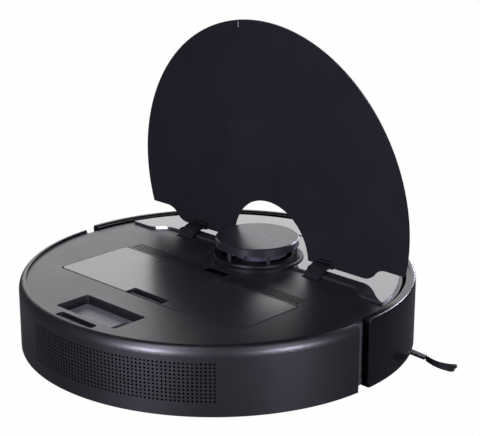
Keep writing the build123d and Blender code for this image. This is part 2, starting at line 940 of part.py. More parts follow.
def make_turret_cap():
    low = turret_cap_top - turret_cap_height
    cap = disc(turret_cap_radius, low, turret_cap_top, 0, turret_y)
    cap = chamfer(cap.edges().filter_by(GeomType.CIRCLE).sort_by(Axis.Z)[-1], turret_cap_edge)
    cap -= disc(turret_cap_radius - turret_wall, low, low + turret_cap_hollow, 0, turret_y)
    pillar_low = turret_base_top - turret_socket_depth + turret_cap_travel
    for p in pillar_places(pillar_circle()):
        cap += disc(turret_pillar_radius, pillar_low, low + turret_cap_hollow, p.X, p.Y)
    return cap


def make_lidar_rotor():
    """Turning head with two round sight holes, on a hub with a belt pulley at its foot."""
    head_low = turret_base_top + 2 * run_gap
    head_top = turret_cap_top - turret_cap_height - turret_cap_travel
    rotor = disc(rotor_pulley_radius, pulley_foot, pulley_foot + pulley_height, 0, turret_y)
    rotor += disc(rotor_hub_radius, pulley_foot, head_low, 0, turret_y)
    rotor += disc(rotor_radius, head_low, head_top, 0, turret_y)
    face = turret_y - rotor_radius + sight_depth
    rotor -= block((-rotor_radius, rotor_radius), (turret_y - 2 * rotor_radius, face), (head_low, head_top))
    middle = (head_low + head_top) / 2
    sight = Pos(0, face, middle) * Rot(90, 0, 0) * Cylinder(sight_radius, 2 * sight_depth)
    for side in (1, -1):
        rotor -= Pos(side * sight_spacing / 2, 0, 0) * sight
    bore_top = pulley_foot + rotor_shaft_reach + run_gap
    return rotor - disc(rotor_shaft_radius + shaft_gap, pulley_foot, bore_top, 0, turret_y)


def tub_plan(grow):
    """Plan of the turret's tub, which leaves room round both pulleys."""
    return belt_plan(rotor_pulley_radius + tub_room + grow, pulley_radius + tub_room + grow)


def make_lidar_tub():
    height = deck_bottom - tub_floor_z
    tub = Pos(0, 0, tub_floor_z) * extrude(tub_plan(tub_wall), height)
    tub -= Pos(0, 0, tub_floor_z + tub_wall) * extrude(tub_plan(0), height)
    tub += disc(rotor_shaft_radius, tub_floor_z, pulley_foot + rotor_shaft_reach, 0, turret_y)
    return tub - disc(motor_shaft_radius + run_gap, tub_floor_z, tub_floor_z + tub_wall, 0, pulley_y)


def make_lidar_motor():
    motor = disc(lidar_motor_radius, tub_floor_z - lidar_motor_length, tub_floor_z, 0, pulley_y)
    bore = motor_shaft_radius + shaft_gap
    return motor - disc(bore, tub_floor_z - motor_shaft_reach, tub_floor_z, 0, pulley_y)


def make_lidar_pulley():
    shaft = disc(motor_shaft_radius, tub_floor_z - motor_shaft_reach + overcut, pulley_foot, 0, pulley_y)
    return shaft + disc(pulley_radius, pulley_foot, pulley_foot + pulley_height, 0, pulley_y)


def make_lidar_belt():
    """Closed loop round the rotor's foot and the motor's pulley, just clear of both."""
    slack = run_gap / 2
    outer = belt_plan(rotor_pulley_radius + slack + belt_thickness, pulley_radius + slack + belt_thickness)
    loop = outer - belt_plan(rotor_pulley_radius + slack, pulley_radius + slack)
    return Pos(0, 0, pulley_foot + belt_inset) * extrude(loop, pulley_height - 2 * belt_inset)


# Dust box

def box_outline(grow, low, high):
    half = box_half_width + grow
    y_span = (box_rear_y - grow, box_front_y + grow)
    return rounded_block((-half, half), y_span, (low, high), box_corner + grow)


def inlet_space(y_span):
    half = box_inlet_width / 2
    return block((-half, half), y_span, (box_inlet_z, box_inlet_z + box_inlet_height))


def filter_space(clearance, y_span):
    half = filter_width / 2 + clearance
    low = box_bottom + filter_rise
    return block((-half, half), y_span, (low - clearance, low + filter_height + clearance))


def make_dust_well():
    """Well that the dust box drops into, with a ledge under the edges of its panel and the ribbed strip."""
    reach = panel_gap + well_ledge_reach
    half = panel_half_width + reach
    ledge = block((-half, half), (panel_rear_y - reach, strip_front_y + reach),
                  (well_ledge_top - well_ledge, well_ledge_top))
    well = ledge + box_outline(well_gap + well_wall, base_top, well_ledge_top)
    well -= box_outline(well_gap, base_top, well_ledge_top)
    front = box_front_y + well_gap
    rear = box_rear_y - well_gap
    well -= inlet_space((front - overcut, front + well_wall + overcut))
    return well - filter_space(0, (rear - well_wall - overcut, rear + overcut))


def make_dust_box():
    """Open tub with the mouth of the brush chamber in its front and the filter's window in its rear."""
    box = box_outline(0, box_bottom, panel_bottom)
    box -= box_outline(-box_wall, box_bottom + box_wall, panel_bottom)
    box -= inlet_space((box_front_y - box_wall - overcut, box_front_y + overcut))
    box -= finger_notch(box_wall, notch_floor - box_wall, panel_bottom)
    return box - filter_space(seat_gap, (box_rear_y - overcut, box_rear_y + box_wall + overcut))


def finger_notch(grow, low, high):
    """Notch for two fingers at the rear of the panel, as deep as the clip behind it."""
    half = notch_width / 2 + grow
    front = panel_rear_y + notch_depth + grow
    return block((-half, half), (box_rear_y, front), (low, high))


def make_dust_box_panel():
    """Cover of the dust box with the pocket of the finger notch moulded under it."""
    panel_top = panel_bottom + panel_thickness
    panel = panel_outline(0, panel_bottom, panel_top)
    panel = chamfer(panel.faces().sort_by(Axis.Z)[-1].edges(), panel_edge)
    panel += finger_notch(box_wall, notch_floor - box_wall, panel_bottom)
    half = notch_width / 2
    y_span = (panel_rear_y - overcut, panel_rear_y + notch_depth)
    mouth = block((-half, half), y_span, (panel_bottom, panel_top))
    return panel - mouth - finger_notch(0, notch_floor, panel_bottom)


def make_dust_filter():
    """Pleated filter in the rear wall of the box."""
    frame = filter_space(0, (box_rear_y, box_rear_y + filter_depth))
    pitch = (filter_width - 2 * filter_border) / filter_pleats
    low = box_bottom + filter_rise + filter_border
    y_span = (box_rear_y - overcut, box_rear_y + filter_depth - filter_backing)
    groove = block((-pitch / 4, pitch / 4), y_span, (low, low + filter_height - 2 * filter_border))
    middle = (filter_pleats - 1) / 2
    return frame - [Pos((index - middle) * pitch, 0, 0) * groove for index in range(filter_pleats)]


def make_dust_box_clip():
    """Latch plate at the rear of the finger notch, pressed forward to free the box."""
    rear = box_rear_y + run_gap
    front = rear + clip_thickness
    half = clip_width / 2
    plate = block((-half, half), (rear, front), (notch_floor, panel_bottom + panel_thickness / 2))
    half_rib = half - clip_rib_inset
    rib_low = panel_bottom - clip_rib_pitch
    rib_span = (rib_low, rib_low + clip_rib_pitch / 2)
    rib = block((-half_rib, half_rib), (front, front + clip_rib_pitch / 3), rib_span)
    return plate + [Pos(0, 0, -clip_rib_pitch * index) * rib for index in range(clip_rib_count)]


# Stored cleaning tool

def make_cleaning_tool():
    """Flat tool that fills the floor of its pocket, with an open end that holds a small lever."""
    low = deck_top - pocket_depth
    top = deck_top - tool_drop
    tool = pocket_outline(-tool_margin, low, top)
    right = pocket_x + pocket_half_width - tool_margin
    x_span = (right - tool_end_space, right - tool_end_wall)
    y_span = (pocket_rear_y + tool_side_wall, pocket_front_y - tool_side_wall)
    tool -= block(x_span, y_span, (low, top))
    lever_x = sum(x_span) / 2
    lever_span = (lever_x - tool_lever_width / 2, lever_x + tool_lever_width / 2)
    return tool + block(lever_span, y_span, (low, top - tub_skin))


# Main brush

def make_brush_chamber():
    """Vaulted chamber over the main brush, open below and towards the dust box."""
    half = mouth_half_length()
    outer = chamber_radius + chamber_wall
    outer_span = (-half - chamber_wall, half + chamber_wall)
    vault = rod_x(outer, outer_span, brush_y, brush_z)
    vault += block(outer_span, (brush_y - outer, brush_y + outer), (base_top, brush_z))
    vault -= rod_x(chamber_radius, (-half, half), brush_y, brush_z)
    vault -= block((-half, half), (brush_y - chamber_radius, brush_y + chamber_radius), (0, brush_z))
    vault -= block((-body_radius, body_radius), (-body_radius, body_radius), (-body_radius, base_top))
    vault -= inlet_space((brush_y - outer - overcut, brush_y))
    reach = half + chamber_wall + overcut
    return vault - rod_x(brush_stub_radius + shaft_gap, (-reach, reach), brush_y, brush_z)


def make_brush_guard():
    """Flat frame under the mouth of the chamber, with a lip that overhangs the brush a little."""
    half = mouth_half_length()
    outer_x = half + guard_margin
    outer_y = chamber_radius + chamber_wall
    z_span = (base_bottom - guard_thickness, base_bottom)
    frame = rounded_block((-outer_x, outer_x), (brush_y - outer_y, brush_y + outer_y), z_span, guard_lip)
    inner_x = half - guard_lip / 2
    inner_y = chamber_radius - guard_lip
    mouth = rounded_block((-inner_x, inner_x), (brush_y - inner_y, brush_y + inner_y), z_span, guard_lip)
    return frame - mouth


def make_brush_gearbox():
    """Gear case at the left end of the brush, with its motor alongside the chamber."""
    start = mouth_half_length() + chamber_wall
    end = start + gearbox_width
    motor_y = brush_y + chamber_radius + chamber_wall + gearbox_motor_radius + overcut
    case_y = (brush_y - gearbox_motor_radius, motor_y)
    case = block((-end, -start), case_y, (base_top, brush_z + gearbox_motor_radius))
    motor_z = base_top + gearbox_motor_radius
    case += rod_x(gearbox_motor_radius, (-end, gearbox_reach - start), motor_y, motor_z)
    return case - rod_x(brush_stub_radius + shaft_gap, (-end + chamber_wall, -start), brush_y, brush_z)


def make_brush_core():
    core = rod_x(brush_core_radius, (-brush_half_length, brush_half_length), brush_y, brush_z)
    reach = brush_half_length + brush_stub_length
    return core + rod_x(brush_stub_radius, (-reach, reach), brush_y, brush_z)


def fin_section(x, angle):
    """Section of one fin across the brush."""
    root = brush_core_radius + brush_collar / 2
    outline = Polygon(
        (root, -brush_fin_thickness / 2), (brush_fin_radius, -brush_fin_thickness / 4),
        (brush_fin_radius, brush_fin_thickness / 4), (root, brush_fin_thickness / 2), align=None,
    )
    lean = radians(angle)
    place = Plane(origin=(x, brush_y, brush_z), x_dir=(0, cos(lean), sin(lean)), z_dir=(1, 0, 0))
    return place * outline


def make_brush_fins():
    """Rubber fins that wind towards the middle of the brush from both ends."""
    half = brush_half_length - brush_fin_inset
    fins = []
    for index in range(brush_fin_count):
        start = 360 * index / brush_fin_count + brush_fin_start
        sections = [fin_section(x, start + brush_fin_twist * (1 - abs(x) / half))
                    for x in (-half, -half / 2, 0, half / 2, half)]
        halves = [loft(sections[0:3], ruled=True), loft(sections[2:5], ruled=True)]
        fins.append(halves[0] + halves[1])
    collar = rod_x(brush_core_radius + brush_collar, (-half, half), brush_y, brush_z)
    collar -= rod_x(brush_core_radius, (-half, half), brush_y, brush_z)
    return collar + fins


# Side brush

def along_arm(reach):
    """Height of an arm's middle at a distance from the hub's axis: level, then drooping."""
    share = max(0, reach - side_arm_bend) / (side_arm_reach - side_arm_bend)
    return side_arm_inner_z + (side_arm_outer_z - side_arm_inner_z) * share


def arm_section(reach, width):
    """Flat section with bevelled edges across an arm."""
    half = width / 2
    rise = side_arm_thickness / 2
    bevel = side_arm_thickness / 3
    right = [(half - bevel, -rise), (half, bevel - rise), (half, rise - bevel), (half - bevel, rise)]
    left = [(-x, -z) for x, z in right]
    plane = Plane(origin=(reach, 0, along_arm(reach)), x_dir=(0, 1, 0), z_dir=(1, 0, 0))
    return plane * Polygon(*right, *left, align=None)


def place_side(part, index):
    """Turn a piece drawn along +X round the hub to its own arm."""
    angle = side_arm_angle + 360 * index / side_arm_count
    return Pos(side_x, side_y, 0) * Rot(0, 0, angle) * part


def make_side_brush_hub():
    """Hub with a stepped foot and three arms that droop towards the floor."""
    hub_top = base_bottom - run_gap
    hub = disc(side_hub_radius, side_hub_bottom + overcut, hub_top)
    hub += disc(side_hub_radius - side_hub_step, side_hub_bottom, hub_top)
    hub += disc(side_shaft_radius, side_hub_bottom, base_top + side_shaft_reach)
    hub = Pos(side_x, side_y, 0) * hub
    root = side_hub_radius - side_hub_step / 2
    arm = loft([
        arm_section(root, side_arm_width + side_arm_flare),
        arm_section(side_arm_bend, side_arm_width + side_arm_flare / 2),
        arm_section(tuft_start, side_arm_width),
    ], ruled=True)
    return hub + [place_side(arm, index) for index in range(side_arm_count)]


def strand(row, column):
    """One thin bristle, drawn from the tuft's backing to the slanted cut of the tips."""
    across = column / (strand_columns - 1) - 0.5
    up = row / (strand_rows - 1)
    root_width = tuft_width - 2 * tuft_margin
    root_height = tuft_height - 2 * tuft_margin
    start = Vector(side_arm_reach - tuft_margin, across * root_width,
                   along_arm(side_arm_reach) + (up - 0.5) * root_height)
    reach = strand_reach - strand_slant * across - strand_step * ((row + column) % 3)
    end = Vector(reach, across * tuft_tip_width, tuft_tip_low + up * (tuft_tip_high - tuft_tip_low))
    run = end - start
    foot = Plane(origin=start, x_dir=(0, 1, 0), z_dir=run.normalized())
    return extrude(foot * Rectangle(strand_width, strand_width), run.length)


def make_tuft():
    """One tuft of bristles with the collar that holds it at the end of an arm."""
    plane = Plane(origin=(tuft_start, 0, along_arm(tuft_start)), x_dir=(0, 1, 0), z_dir=(1, 0, 0))
    drop = along_arm(side_arm_reach) - along_arm(tuft_start)
    collar = extrude(plane * Rectangle(tuft_width, tuft_height), tuft_backing, dir=(tuft_backing, 0, drop))
    strands = [strand(row, column) for row in range(strand_rows) for column in range(strand_columns)]
    return collar.fuse(*strands)


def make_side_brush_gearbox():
    """Gear case over the hub with its upright motor beside it."""
    top = base_top + side_gearbox_height
    case = disc(side_gearbox_radius, base_top, top, side_x, side_y)
    case += disc(side_motor_radius, base_top, top + side_motor_rise, side_x - side_gearbox_radius, side_y)
    bore_top = base_top + side_shaft_reach + run_gap
    return case - disc(side_shaft_radius + shaft_gap, base_top, bore_top, side_x, side_y)


# Drive wheels

def make_suspension_arm(side):
    """Gearbox arm from its pivot to the axle of a drive wheel."""
    wheel_half = arm_half_height - arm_web_margin
    pivot_half = arm_pivot_radius - arm_web_margin
    outline = Pos(wheel_y, wheel_z) * Circle(arm_half_height)
    outline += Pos(pivot_y, pivot_z) * Circle(arm_pivot_radius)
    outline += Polygon((wheel_y, wheel_z - wheel_half), (pivot_y, pivot_z - pivot_half),
                       (pivot_y, pivot_z + pivot_half), (wheel_y, wheel_z + wheel_half), align=None)
    arm = Pos(arm_inner_x, 0, 0) * extrude(Plane.YZ * outline, arm_width, dir=(1, 0, 0))
    span = (arm_inner_x, arm_inner_x + arm_width)
    arm -= rod_x(pivot_radius + shaft_gap, span, pivot_y, pivot_z)
    arm -= rod_x(axle_radius + shaft_gap, (span[0] + pivot_ear_width, span[1]), wheel_y, wheel_z)
    return arm if side == 1 else mirrored(arm)


def make_suspension_pins():
    reach = pivot_ear_width + run_gap
    span = (arm_inner_x - reach, arm_inner_x + arm_width + reach)
    return both(rod_x(pivot_radius, span, pivot_y, pivot_z))


def make_wheel_hub(side):
    """Dished hub with spokes and the axle that turns in the arm."""
    half = wheel_width / 2 - hub_inset
    rim = wheel_radius - tyre_depth
    span = (wheel_x - half, wheel_x + half)
    hub = rod_x(rim, span, wheel_y, wheel_z)
    hub -= rod_x(rim - hub_wall, (span[1] - hub_dish, span[1]), wheel_y, wheel_z)
    hub += rod_x(hub_boss_radius, span, wheel_y, wheel_z)
    spoke = Box(hub_dish, spoke_width, rim - hub_wall / 2, align=UP)
    spoke = Pos(span[1] - hub_dish / 2 - hub_inset / 2, 0, 0) * spoke
    for index in range(spoke_count):
        hub += Pos(0, wheel_y, wheel_z) * Rot(360 * index / spoke_count, 0, 0) * spoke
    hub += rod_x(axle_radius, (arm_inner_x + hub_wall, span[0]), wheel_y, wheel_z)
    return hub if side == 1 else mirrored(hub)


def make_tyre(side):
    half = wheel_width / 2
    tyre = rod_x(wheel_radius, (wheel_x - half, wheel_x + half), wheel_y, wheel_z)
    tyre -= rod_x(wheel_radius - tyre_depth, (wheel_x - half, wheel_x + half), wheel_y, wheel_z)
    groove = Pos(wheel_x, 0, wheel_radius) * Box(wheel_width, tread_width, 2 * tread_depth)
    grooves = [Pos(0, wheel_y, wheel_z) * Rot(360 * (index + 0.5) / tread_count, 0, 0) * groove
               for index in range(tread_count)]
    tyre -= grooves
    return tyre if side == 1 else mirrored(tyre)


# Caster

def make_caster_fork():
    """Round swivelling cup that holds the wheel, with a stem in the base's socket."""
    cup = disc(caster_cup_radius, base_bottom - caster_cup_proud, caster_cup_top, 0, caster_y)
    y = caster_y - caster_trail
    room = caster_radius + caster_cup_proud
    half = caster_width / 2 + caster_wheel_room
    cup -= rod_x(room, (-half, half), y, caster_radius)
    cup -= block((-half, half), (y - room, y + room), (0, caster_radius))
    cup += disc(caster_stem_radius, caster_cup_top - caster_cup_proud, caster_stem_top - overcut, 0, caster_y)
    reach = half + caster_socket_wall
    return cup - rod_x(caster_axle_radius + shaft_gap, (-reach, reach), y, caster_radius)


def make_caster_wheel():
    half = caster_width / 2
    y = caster_y - caster_trail
    wheel = rod_x(caster_radius, (-half, half), y, caster_radius)
    wheel = chamfer(wheel.edges().filter_by(GeomType.CIRCLE), caster_wheel_edge)
    reach = half + caster_socket_wall
    return wheel + rod_x(caster_axle_radius, (-reach, reach), y, caster_radius)


# Fan

def make_fan_housing():
    """Round fan case with a spout towards the grille."""
    case = disc(fan_radius, fan_bottom, fan_top, fan_x, fan_y)
    half = fan_outlet_width / 2
    spout_low = impeller_low - fan_wall
    spout_high = impeller_high + 2 * fan_wall
    spout = block((-half, half), (-fan_outlet_reach, 0), (spout_low, spout_high))
    bore_half = half - fan_wall
    bore = block((-bore_half, bore_half), (-fan_outlet_reach - overcut, 0),
                 (spout_low + fan_wall, spout_high - fan_wall))
    lean = degrees(asin(fan_x / hypot(fan_x, fan_y)))
    towards_grille = Pos(fan_x, fan_y, 0) * Rot(0, 0, lean)
    case += towards_grille * spout
    case += disc(fan_foot_radius, base_top, fan_bottom, fan_x, fan_y)
    case -= disc(fan_radius - fan_wall, fan_bottom + fan_wall, fan_top - fan_wall, fan_x, fan_y)
    case -= towards_grille * bore
    case -= disc(fan_inlet_radius, fan_top - fan_wall, fan_top, fan_x, fan_y)
    return case + disc(fan_shaft_radius, fan_bottom, impeller_low + fan_shaft_reach, fan_x, fan_y)


def make_fan_impeller():
    """Back plate and hub with straight blades set off to one side of the axis."""
    wheel = disc(impeller_radius, impeller_low, impeller_low + impeller_plate)
    wheel += disc(impeller_hub_radius, impeller_low, impeller_high)
    inner = impeller_hub_radius - overcut
    blade = block((inner, inner + impeller_radius - impeller_hub_radius),
                  (impeller_blade_offset, impeller_blade_offset + impeller_blade_width),
                  (impeller_low + impeller_plate / 2, impeller_high))
    for index in range(impeller_blades):
        wheel += Rot(0, 0, 360 * index / impeller_blades) * blade
    wheel -= disc(fan_shaft_radius + shaft_gap, impeller_low, impeller_low + fan_shaft_reach + run_gap)
    return Pos(fan_x, fan_y, 0) * wheel


# All nodes by name
nodes = {
    "chassis_base": make_chassis_base(),
    "front_wall": make_front_wall(),
    "rear_skirt": make_rear_skirt(),
    "exhaust_grille": make_exhaust_grille(),
    "top_deck": make_top_deck(),
    "front_deck": make_front_deck(),
    "ribbed_strip": make_ribbed_strip(),
    "reset_lens": make_reset_lens(),
    "dust_well": make_dust_well(),
    "brush_chamber": make_brush_chamber(),
    "brush_guard": make_brush_guard(),
    "brush_gearbox": make_brush_gearbox(),
    "battery": make_battery(),
    "battery_door": make_battery_door(),
    "main_board": make_main_board(),
    "fan_housing": make_fan_housing(),
    "fan_impeller": make_fan_impeller(),
    "lidar_tub": make_lidar_tub(),
    "lidar_motor": make_lidar_motor(),
    "lidar_belt": make_lidar_belt(),
    "lidar_pulley": make_lidar_pulley(),
    "lidar_rotor": make_lidar_rotor(),
    "turret_base": make_turret_base(),
    "turret_cap": make_turret_cap(),
    "lid_panel": make_lid_panel(),
    "hinge_arms": make_hinge_arms(),
    "hinge_pins": make_hinge_pins(),
    "dust_box": make_dust_box(),
    "dust_box_panel": make_dust_box_panel(),
    "dust_box_clip": make_dust_box_clip(),
    "dust_filter": make_dust_filter(),
    "cleaning_tool": make_cleaning_tool(),
    "bumper_shell": make_bumper_shell(),
    "bumper_window": make_bumper_window(),
    "power_button": make_button(1),
    "home_button": make_button(-1),
    "suspension_pins": make_suspension_pins(),
    "caster_fork": make_caster_fork(),
    "caster_wheel": make_caster_wheel(),
    "main_brush_core": make_brush_core(),
    "main_brush_fins": make_brush_fins(),
    "side_brush_gearbox": make_side_brush_gearbox(),
    "side_brush_hub": make_side_brush_hub(),
    "charging_contacts": Compound(children=[Part(pad) for pad in contact_space(0)]),
    "cliff_windows": Compound(children=[Part(pane) for pane in cliff_space(0)]),
    "base_screws": Compound(children=[Part(screw) for screw in screw_space(0)]),
}
for side_name, side in (("right", 1), ("left", -1)):
    nodes[side_name + "_suspension_arm"] = make_suspension_arm(side)
    nodes[side_name + "_wheel_hub"] = make_wheel_hub(side)
    nodes[side_name + "_tyre"] = make_tyre(side)
tuft = make_tuft()
for number in range(side_arm_count):
    nodes["side_brush_tuft_" + str(number + 1)] = place_side(tuft, number)

os.makedirs("parts", exist_ok=True)
for name, part in nodes.items():
    export_step(part, os.path.join("parts", name + ".step"))
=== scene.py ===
import json
import math
import random

import bmesh
import bpy
from mathutils import Matrix, Vector


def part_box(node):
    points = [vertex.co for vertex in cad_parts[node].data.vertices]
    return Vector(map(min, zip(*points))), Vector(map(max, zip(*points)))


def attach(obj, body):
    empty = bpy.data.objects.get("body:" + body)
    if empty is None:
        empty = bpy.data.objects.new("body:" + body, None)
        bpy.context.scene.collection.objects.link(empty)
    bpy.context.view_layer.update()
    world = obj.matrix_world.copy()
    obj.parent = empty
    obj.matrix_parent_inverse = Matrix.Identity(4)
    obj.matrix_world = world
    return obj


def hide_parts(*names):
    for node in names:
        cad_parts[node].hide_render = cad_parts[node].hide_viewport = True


# Looks of a robot vacuum cleaner with its top lid open. Lengths are metres, in the frame of the solids.

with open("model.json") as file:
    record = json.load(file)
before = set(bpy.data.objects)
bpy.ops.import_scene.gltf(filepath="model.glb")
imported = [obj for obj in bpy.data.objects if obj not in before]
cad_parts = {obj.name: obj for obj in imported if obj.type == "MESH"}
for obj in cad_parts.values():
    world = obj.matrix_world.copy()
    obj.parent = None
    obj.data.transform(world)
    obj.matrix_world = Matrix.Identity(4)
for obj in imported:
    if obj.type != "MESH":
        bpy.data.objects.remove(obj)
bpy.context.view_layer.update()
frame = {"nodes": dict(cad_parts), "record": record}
nodes = frame["nodes"]
slot_colour = {entry["slot"]: entry["base_color"] for entry in frame["record"]["materials"]}
joints = {joint["name"]: joint for joint in frame["record"]["behaviour"]["joints"]}

mm = 0.001

# Camera, placed round the body's axis
image_width = 480
image_height = 436
focal_pixels = 1450.0
sensor_width_mm = 36.0
camera_azimuth = math.radians(45.4)
camera_elevation = math.radians(21.64)
camera_distance = 1.328
camera_roll = math.radians(-0.37)
camera_reach = 100                   # how far the camera sees
axis_height = 40 * mm                # point on the body's axis that the camera is placed round
axis_pixel = (216.0, 307.7)          # where that point falls in the picture

# Exhaust grille
grille_start = math.radians(-15.0)   # from straight back towards the right
grille_end = math.radians(45.5)
grille_columns = 52
grille_rows = 11
grille_hole_radius = 1.0 * mm
grille_border = 0.4 * mm             # plain edge at the top and the ends
grille_foot = 1.6 * mm               # plain edge below the lowest row
grille_wall = 2.6 * mm
seat_gap = 0.1 * mm                  # how far the panel reaches past the grille of the solids on each side
hole_sides = 12
weld_distance = 0.01 * mm            # corners of neighbouring patches closer than this become one

# Side brush
brush_arm_angle = math.radians(9.5)
brush_arm_count = 3
strand_count = 190
strand_radius = 0.26 * mm
strand_taper = 0.45                  # share of its radius that a strand loses towards its tip
strand_rings = 7
strand_shortest = 0.93               # length of the shortest strand, as a share of the longest
tuft_root_reach = 58.5 * mm
tuft_tip_reach = 87.0 * mm
tuft_root_width = 4.6 * mm
tuft_root_height = 2.8 * mm
tuft_root_z = 5.0 * mm
tuft_drop = 3.0 * mm
tuft_tip_width = 12.6 * mm
tuft_flare = 1.6                     # power of the length by which the bundle widens
tuft_slant = 2.3 * mm                # how much shorter the trailing side of the tip is
tuft_sway = (-14.6 * mm, 15.8 * mm)  # sideways run of the bundle: first and second power of its length

# Ribbed strip
# painted shade: the ribbed strip's colour darkens down in its grooves, over this depth below its top
painted_groove_shade_depth = 0.5 * mm        # how far down its grooves turn dark

# Small plain pieces
plate_thickness = 0.12 * mm
lid_underside = 75.2 * mm            # height of the lid's underside when it is shut
label_x = (-47 * mm, 35 * mm)        # plain label inside the lid, in the place it has when the lid is shut
label_y = (-72 * mm, -22 * mm)
catch_x = (-28.0 * mm, -27.0 * mm)   # small catch at the lid's rear edge
catch_y = (-161.0 * mm, -156.0 * mm)
# painted line: the light and shade of the turret cap's groove, drawn as a pale strip
cap_line_x = (-18.5 * mm, 18.6 * mm)  # fine line across the turret's cap
cap_line_y = 53.8 * mm
cap_line_width = 0.8 * mm
strip_notch_x = 13.5 * mm            # half width of the notch in the ribbed strip
strip_notch_y = (-4.72 * mm, 5.28 * mm)
strip_frame_width = 1.6 * mm
sticker_x = (-131.5 * mm, -120.5 * mm)   # white sticker on the wavy step of the front plate
sticker_front_y = 60.0 * mm
sticker_flap = 2.6 * mm

# Floor and surroundings
floor_half = 6.0
floor_drop = 0.2 * mm                # keeps the floor just below the lowest pieces
floor_grey = 0.12                    # what the light meets
floor_white = 0.995                  # share of plain white in what the camera sees
horizon_glow = 0.2                   # what reflections find low round the horizon
overhead_glow = 0.06                 # what reflections find overhead
glow_fade = (0.5, 0.85)              # upward parts of a direction between which the one turns into the other
fill_light = 0.16                    # plain light from all round
lamp_aim = Vector((0, 0, 80 * mm))   # point of the body's axis that the lamps are turned to


# Shader building blocks

class Finish:
    """A material with one principled shader, whose inputs are fed by textures in object space."""

    def __init__(self, name, **sockets):
        self.material = bpy.data.materials.new(name)
        self.material.use_nodes = True
        self.tree = self.material.node_tree
        self.shader = self.tree.nodes["Principled BSDF"]
        for socket, value in sockets.items():
            self.shader.inputs[socket.replace("_", " ")].default_value = value

    def add(self, kind, values=None, **settings):
        made = self.tree.nodes.new(kind)
        for key, value in settings.items():
            setattr(made, key, value)
        for key, value in (values or {}).items():
            made.inputs[key].default_value = value
        return made

    def link(self, source, target):
        self.tree.links.new(source, target)

    def place(self, stretch=(1, 1, 1)):
        """Object coordinates, stretched."""
        where = self.add("ShaderNodeTexCoord")
        mapping = self.add("ShaderNodeMapping", {"Scale": stretch})
        self.link(where.outputs["Object"], mapping.inputs["Vector"])
        return mapping.outputs["Vector"]

    def noise(self, size, detail=2.0, stretch=(1, 1, 1)):
        """Cloudy pattern with features of about the given size."""
        texture = self.add("ShaderNodeTexNoise", {"Scale": 1 / size, "Detail": detail})
        self.link(self.place(stretch), texture.inputs["Vector"])
        return texture.outputs["Fac"]

    def cells(self, size):
        """Pattern of small rounded cells."""
        texture = self.add("ShaderNodeTexVoronoi", {"Scale": 1 / size})
        self.link(self.place(), texture.inputs["Vector"])
        return texture.outputs["Distance"]

    def between(self, value, low, high, start=0.3, end=0.7):
        """Number that runs from low to high with a pattern."""
        spread = self.add("ShaderNodeMapRange",
                          {"From Min": start, "From Max": end, "To Min": low, "To Max": high})
        self.link(value, spread.inputs["Value"])
        return spread.outputs["Result"]

    def colour(self, value, first, second, start=0.3, end=0.7):
        ramp = self.add("ShaderNodeValToRGB")
        ramp.color_ramp.elements[0].position = start
        ramp.color_ramp.elements[1].position = end
        ramp.color_ramp.elements[0].color = (*first, 1)
        ramp.color_ramp.elements[1].color = (*second, 1)
        self.link(value, ramp.inputs["Fac"])
        self.link(ramp.outputs["Color"], self.shader.inputs["Base Color"])

    def roughness(self, value, low, high):
        self.link(self.between(value, low, high), self.shader.inputs["Roughness"])

    def bump(self, height, depth, strength=1.0):
        """Relief of the given depth."""
        relief = self.add("ShaderNodeBump", {"Strength": strength, "Distance": depth})
        self.link(height, relief.inputs["Height"])
        self.link(relief.outputs["Normal"], self.shader.inputs["Normal"])


def shade(colour, factor):
    return tuple(channel * factor for channel in colour)


# Materials

def moulded_plastic(name, colour, roughness, grain=0.5 * mm, grain_depth=0.002 * mm, **sockets):
    """Moulded plastic: fine eroded grain, cloudy gloss and a faint drift of colour."""
    finish = Finish(name, **sockets)
    finish.colour(finish.noise(60 * mm, 3), shade(colour, 0.9), shade(colour, 1.1))
    finish.roughness(finish.noise(30 * mm, 2), roughness * 0.96, roughness * 1.04)
    finish.bump(finish.noise(grain, 2), grain_depth)
    return finish.material


def polished_plastic(name, colour, roughness, **sockets):
    """Polished plastic: a faint drift of colour and slight smears in its gloss."""
    finish = Finish(name, **sockets)
    finish.colour(finish.noise(80 * mm, 2), shade(colour, 0.9), shade(colour, 1.1))
    smears = finish.noise(40 * mm, 3, stretch=(1, 2.5, 1))
    finish.roughness(smears, roughness * 0.9, roughness * 1.1)
    return finish.material


def ribbed_plastic_painted_shade(name, colour, roughness, specular, top):
    """Satin plastic below a top face at a given height, with painted shade down in its grooves: darker
    colour, more roughness and weaker reflections there.
    """
    finish = Finish(name)
    parts = finish.add("ShaderNodeSeparateXYZ")
    finish.link(finish.place(), parts.inputs["Vector"])
    level = finish.between(parts.outputs["Z"], 0, 1, top - painted_groove_shade_depth, top)
    # painted shade: the colour falls to a tenth of itself down in the grooves
    finish.colour(level, shade(colour, 0.1), colour, 0, 1)
    finish.link(finish.between(level, 0.9, roughness, 0, 1), finish.shader.inputs["Roughness"])
    # weaker reflections down in the grooves, also standing in for shade
    finish.link(finish.between(level, 0.02, specular, 0, 1), finish.shader.inputs["Specular IOR Level"])
    finish.bump(finish.noise(0.5 * mm, 2), 0.002 * mm)
    return finish.material


def brushed_metal(name, colour, roughness):
    """Turned or drawn metal with fine lines along it."""
    finish = Finish(name, Metallic=1.0)
    lines = finish.noise(1.2 * mm, 3, stretch=(0.05, 1, 1))
    finish.colour(lines, shade(colour, 0.8), shade(colour, 1.05))
    finish.roughness(lines, roughness * 0.7, roughness * 1.3)
    finish.bump(lines, 0.01 * mm)
    return finish.material


def rubber(name, colour):
    """Soft rubber with a dusty bloom and a fine pebbled skin."""
    finish = Finish(name, IOR=1.5, Specular_IOR_Level=0.3)
    finish.colour(finish.noise(6 * mm, 5), shade(colour, 0.8), shade(colour, 1.7))
    finish.roughness(finish.noise(3 * mm, 3), 0.7, 0.9)
    finish.bump(finish.cells(0.7 * mm), 0.05 * mm, 0.6)
    return finish.material


